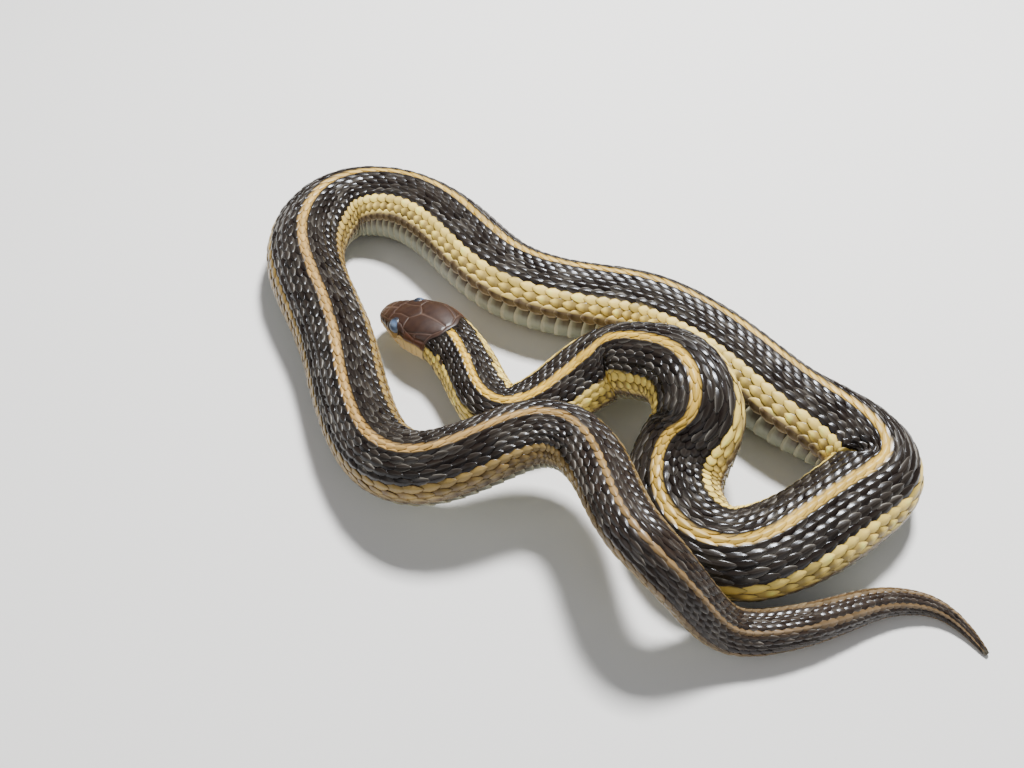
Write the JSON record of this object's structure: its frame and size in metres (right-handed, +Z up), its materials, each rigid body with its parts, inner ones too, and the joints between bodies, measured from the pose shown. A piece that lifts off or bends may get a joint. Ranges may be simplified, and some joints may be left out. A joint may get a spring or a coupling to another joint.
{
  "type": "garter snake",
  "caption": "Striped garter snake lying still in loose curves, head at the middle of its coils and slim tail trailing forward",
  "frame": {"origin": "on the floor under the middle of the bounding box", "axes": "+X to the right of the picture along the longest extent, +Y away from the camera, +Z up"},
  "size_m": [0.1416, 0.1262, 0.0246],
  "materials": {
    "head_skin": "smooth brown head shields",
    "body_skin": "glossy keeled scales, near black with tan and yellow stripes",
    "tail_skin": "duller keeled scales, dark grey with a tan stripe",
    "eye": "clouded blue, smooth and wet"
  },
  "bodies": {
    "root": {"head": "head_skin", "eye_left": "eye", "eye_right": "eye", "neck": "body_skin", "torso_1": "body_skin", "torso_2": "body_skin", "torso_3": "body_skin", "torso_4": "body_skin", "torso_5": "body_skin", "torso_6": "body_skin", "torso_7": "body_skin", "torso_8": "body_skin", "torso_9": "body_skin", "torso_10": "body_skin", "torso_11": "body_skin", "torso_12": "body_skin", "tail_1": "tail_skin", "tail_2": "tail_skin", "tail_3": "tail_skin"}
  },
  "joints": []
}
